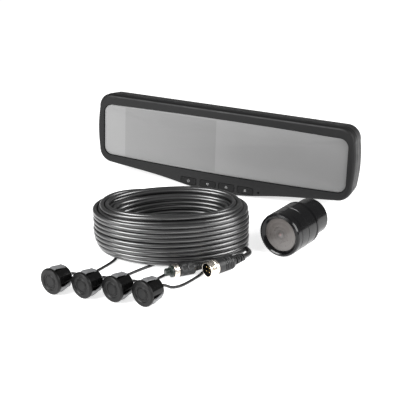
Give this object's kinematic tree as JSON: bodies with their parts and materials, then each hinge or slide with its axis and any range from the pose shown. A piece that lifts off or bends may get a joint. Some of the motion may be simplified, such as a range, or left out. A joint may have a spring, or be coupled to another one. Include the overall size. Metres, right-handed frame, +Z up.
{
  "type": "backup camera kit",
  "caption": "Reversing camera kit: rear-view mirror monitor on a ball mount, flush barrel camera, flush bumper parking sensors on leads, coiled extension cable with screw connectors.",
  "frame": {"origin": "on the floor, at the middle of the kit's footprint without the loose cords", "axes": "+Z up, +X along the mirror to the camera's side, +Y from the sensors to the back of the mirror"},
  "size_m": [0.291, 0.3697, 0.0889],
  "materials": {
    "arm_metal": "powder coated",
    "black_screw": "black oxide",
    "board_shield": "satin",
    "button_plastic": "satin",
    "cable_jacket": "satin PVC",
    "camera_black": "gloss black anodised",
    "camera_pane": "clear",
    "circuit_board": "solder mask",
    "clip_plastic": "satin grey",
    "display_glass": "gloss",
    "foam_tape": "matt",
    "gland_rubber": "matt",
    "gold": "gold plated",
    "grip_plastic": "satin",
    "half_mirror": "half-mirror glass",
    "housing_plastic": "fine textured",
    "insert_plastic": "satin",
    "lead_jacket": "satin PVC",
    "lens_barrel": "black anodised",
    "lens_glass": "coated",
    "liner_plastic": "satin",
    "mount_plastic": "satin",
    "nickel": "nickel plated",
    "plug_plastic": "satin",
    "seal_rubber": "matt",
    "sensor_black": "gloss",
    "sensor_lens": "gloss",
    "socket_plastic": "satin",
    "steel_screw": "bright",
    "transducer_black": "satin black"
  },
  "bodies": {
    "sensor_set": {"lead_coil_1": "lead_jacket", "lead_coil_2": "lead_jacket", "lead_coil_3": "lead_jacket", "lead_coil_4": "lead_jacket", "lead_plugs": "plug_plastic", "sensor_1_housing": "sensor_black", "sensor_1_transducer": "transducer_black", "sensor_2_housing": "sensor_black", "sensor_2_transducer": "transducer_black", "sensor_3_housing": "sensor_black", "sensor_3_transducer": "transducer_black", "sensor_4_housing": "sensor_black", "sensor_4_transducer": "transducer_black", "sensor_clips": "clip_plastic", "sensor_lead_1": "lead_jacket", "sensor_lead_2": "lead_jacket", "sensor_lead_3": "lead_jacket", "sensor_lead_4": "lead_jacket", "sensor_seals": "seal_rubber"},
    "mirror": {"front_bezel": "housing_plastic", "rear_housing": "housing_plastic", "mirror_glass": "half_mirror", "glass_tape": "foam_tape", "lcd_panel": "display_glass", "lcd_backlight": "board_shield", "main_board": "circuit_board", "cable_socket": "socket_plastic", "button_board": "circuit_board", "light_sensor": "sensor_lens", "housing_screws": "black_screw", "ball_socket": "mount_plastic"},
    "camera": {"camera_bezel": "camera_black", "camera_barrel": "camera_black", "camera_window": "camera_pane", "lens_barrel": "lens_barrel", "lens_glass": "lens_glass", "image_board": "circuit_board", "camera_collar": "camera_black", "camera_sleeve": "camera_black", "cable_gland": "gland_rubber"},
    "cable": {"cable_coil": "cable_jacket", "cable_tail_a": "cable_jacket", "cable_tail_b": "cable_jacket", "female_insert": "insert_plastic", "female_relief": "grip_plastic", "male_shell": "nickel", "pin_block": "insert_plastic", "contact_pins": "gold", "male_body": "grip_plastic", "male_relief": "grip_plastic"},
    "coupling_nut": {"coupling_ring": "nickel", "coupling_sleeve": "grip_plastic"},
    "key_power": {"button_power": "button_plastic"},
    "key_down": {"button_down": "button_plastic"},
    "key_up": {"button_up": "button_plastic"},
    "key_menu": {"button_menu": "button_plastic"},
    "liner": {"ball_liner": "liner_plastic"},
    "arm": {"mount_arm": "arm_metal"},
    "foot": {"windshield_foot": "arm_metal", "foot_screw": "steel_screw"}
  },
  "joints": [
    {"name": "mirror_lift", "type": "slide", "parent": "sensor_set", "child": "mirror", "axis": [0, 0, 1], "range_m": [0, 0.12]},
    {"name": "camera_lift", "type": "slide", "parent": "sensor_set", "child": "camera", "axis": [0, 0, 1], "range_m": [0, 0.12]},
    {"name": "cable_lift", "type": "slide", "parent": "sensor_set", "child": "cable", "axis": [0, 0, 1], "range_m": [0, 0.12]},
    {"name": "power_press", "type": "slide", "parent": "mirror", "child": "key_power", "axis": [0, 0.9976, -0.0698], "range_m": [0, 0.0006], "stiffness_N_per_m": 1500, "springref_m": -0.0004},
    {"name": "down_press", "type": "slide", "parent": "mirror", "child": "key_down", "axis": [0, 0.9976, -0.0698], "range_m": [0, 0.0006], "stiffness_N_per_m": 1500, "springref_m": -0.0004},
    {"name": "up_press", "type": "slide", "parent": "mirror", "child": "key_up", "axis": [0, 0.9976, -0.0698], "range_m": [0, 0.0006], "stiffness_N_per_m": 1500, "springref_m": -0.0004},
    {"name": "menu_press", "type": "slide", "parent": "mirror", "child": "key_menu", "axis": [0, 0.9976, -0.0698], "range_m": [0, 0.0006], "stiffness_N_per_m": 1500, "springref_m": -0.0004},
    {"name": "mirror_pan", "type": "hinge", "parent": "mirror", "child": "liner", "pos_m": [0, 0.13609, 0.04718], "axis": [0, 0.0698, 0.9976], "range_deg": [-20, 20]},
    {"name": "mirror_tilt", "type": "hinge", "parent": "liner", "child": "arm", "pos_m": [0, 0.13609, 0.04718], "axis": [1, 0, 0], "range_deg": [-15, 15]},
    {"name": "foot_tilt", "type": "hinge", "parent": "arm", "child": "foot", "pos_m": [0, 0.17338, 0.03555], "axis": [1, 0, 0], "range_deg": [-20, 20]},
    {"name": "coupling_spin", "type": "hinge", "parent": "cable", "child": "coupling_nut", "pos_m": [0.0443, -0.1127, 0.006], "axis": [0.6441, 0.7649, 0], "continuous": true}
  ]
}
